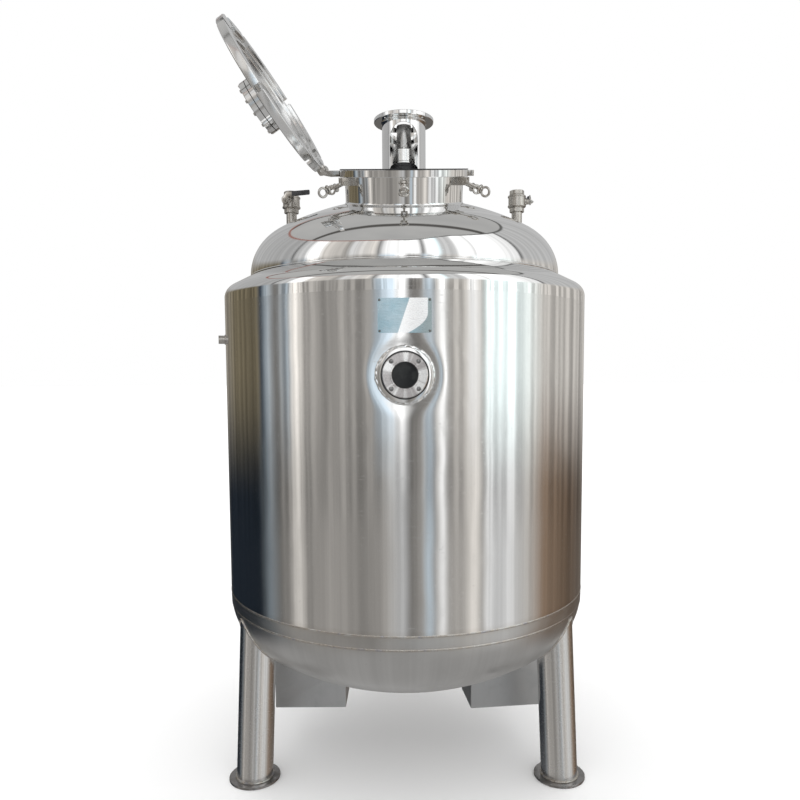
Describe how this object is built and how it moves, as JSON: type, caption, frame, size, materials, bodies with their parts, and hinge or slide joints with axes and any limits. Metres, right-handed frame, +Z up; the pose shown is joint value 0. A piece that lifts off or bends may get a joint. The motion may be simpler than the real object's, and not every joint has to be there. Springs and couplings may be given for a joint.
{
  "type": "heated mixing tank",
  "caption": "Jacketed stainless mixing tank on pipe legs, with a domed top, open hinged manway, swing bolts, agitator stand, ball valves, sight port and heater covers.",
  "frame": {"origin": "on the floor, under the vessel's axis", "axes": "+Z up; -Y is the front, with the manway, name plate and sight port; -X is the side of the lid's hinge"},
  "size_m": [1.2068, 1.2772, 2.3122],
  "materials": {
    "mirror_steel": "mirror-polished stainless steel",
    "brushed_steel": "stainless steel brushed round the jacket",
    "dull_steel": "duller brushed stainless steel",
    "satin_pipe": "satin stainless pipe",
    "grey_sheet": "plain grey sheet",
    "cast_steel": "cast and turned stainless steel",
    "dark_steel": "darkened polished steel",
    "black_rubber": "black rubber",
    "black_plastic": "black dipped lever",
    "sight_glass": "dark sight glass"
  },
  "bodies": {
    "root": {"jacket_wall": "brushed_steel", "jacket_shoulder": "mirror_steel", "jacket_bottom": "dull_steel", "vessel_wall": "dull_steel", "vessel_dome": "mirror_steel", "vessel_bottom": "dull_steel", "manway_neck": "mirror_steel", "manway_flange": "mirror_steel", "manway_gasket": "black_rubber", "hinge_bracket": "mirror_steel", "hinge_pin": "cast_steel", "latch_block": "cast_steel", "stand_tube": "mirror_steel", "stand_flange": "mirror_steel", "seal_nozzle": "mirror_steel", "seal_base": "black_rubber", "seal_housing": "cast_steel", "port_neck": "mirror_steel", "port_pad": "mirror_steel", "port_glass": "sight_glass", "port_ring": "mirror_steel", "name_plate": "mirror_steel", "left_valve_nipple": "cast_steel", "left_valve_body": "cast_steel", "right_valve_nipple": "cast_steel", "right_valve_body": "cast_steel", "side_coupling": "cast_steel", "leg_left_front": "satin_pipe", "leg_right_front": "satin_pipe", "leg_rear": "satin_pipe", "foot_left_front": "dark_steel", "foot_right_front": "dark_steel", "foot_rear": "dark_steel", "heater_cover_left": "grey_sheet", "heater_cover_right": "grey_sheet", "bottom_outlet": "mirror_steel"},
    "lid": {"lid_disc": "mirror_steel", "lid_strap": "mirror_steel", "lid_sight_base": "mirror_steel", "lid_sight_glass": "sight_glass", "lid_sight_ring": "mirror_steel"},
    "bolt_front": {"swing_bolt_front": "cast_steel"},
    "bolt_right_front": {"swing_bolt_right_front": "cast_steel"},
    "bolt_right_back": {"swing_bolt_right_back": "cast_steel"},
    "bolt_back": {"swing_bolt_back": "cast_steel"},
    "bolt_left_back": {"swing_bolt_left_back": "cast_steel"},
    "bolt_left_front": {"swing_bolt_left_front": "cast_steel"},
    "left_handle": {"left_valve_handle": "black_plastic"},
    "right_handle": {"right_valve_handle": "black_plastic"},
    "agitator": {"agitator_coupling": "dark_steel", "agitator_shaft": "satin_pipe", "agitator_impeller": "satin_pipe"}
  },
  "joints": [
    {"name": "lid_hinge", "type": "hinge", "parent": "root", "child": "lid", "pos_m": [-0.245, -0.26163, 1.90311], "axis": [0, 0.9636, 0.2672], "range_deg": [0, 122.4]},
    {"name": "swing_bolt_front_pivot", "type": "hinge", "parent": "root", "child": "bolt_front", "pos_m": [0, -0.45009, 1.81556], "axis": [-1, 0, 0], "range_deg": [0, 112]},
    {"name": "swing_bolt_right_front_pivot", "type": "hinge", "parent": "root", "child": "bolt_right_front", "pos_m": [0.17754, -0.35132, 1.84295], "axis": [-0.5, -0.8345, -0.2314], "range_deg": [0, 112]},
    {"name": "swing_bolt_right_back_pivot", "type": "hinge", "parent": "root", "child": "bolt_right_back", "pos_m": [0.17754, -0.15377, 1.89774], "axis": [0.5, -0.8345, -0.2314], "range_deg": [0, 112]},
    {"name": "swing_bolt_back_pivot", "type": "hinge", "parent": "root", "child": "bolt_back", "pos_m": [0, -0.055, 1.92513], "axis": [1, 0, 0], "range_deg": [0, 112]},
    {"name": "swing_bolt_left_back_pivot", "type": "hinge", "parent": "root", "child": "bolt_left_back", "pos_m": [-0.17754, -0.15377, 1.89774], "axis": [0.5, 0.8345, 0.2314], "range_deg": [0, 112]},
    {"name": "swing_bolt_left_front_pivot", "type": "hinge", "parent": "root", "child": "bolt_left_front", "pos_m": [-0.17754, -0.35132, 1.84295], "axis": [-0.5, 0.8345, 0.2314], "range_deg": [0, 112]},
    {"name": "left_valve_turn", "type": "hinge", "parent": "root", "child": "left_handle", "pos_m": [-0.39849, -0.04257, 1.8675], "axis": [-0.342, -0.9397, 0], "range_deg": [0, 90]},
    {"name": "right_valve_turn", "type": "hinge", "parent": "root", "child": "right_handle", "pos_m": [0.4283, 0, 1.8675], "axis": [1, 0, 0], "range_deg": [0, 90]},
    {"name": "agitator_spin", "type": "hinge", "parent": "root", "child": "agitator", "pos_m": [0, 0.14, 1.3], "axis": [0, 0, 1], "continuous": true}
  ]
}
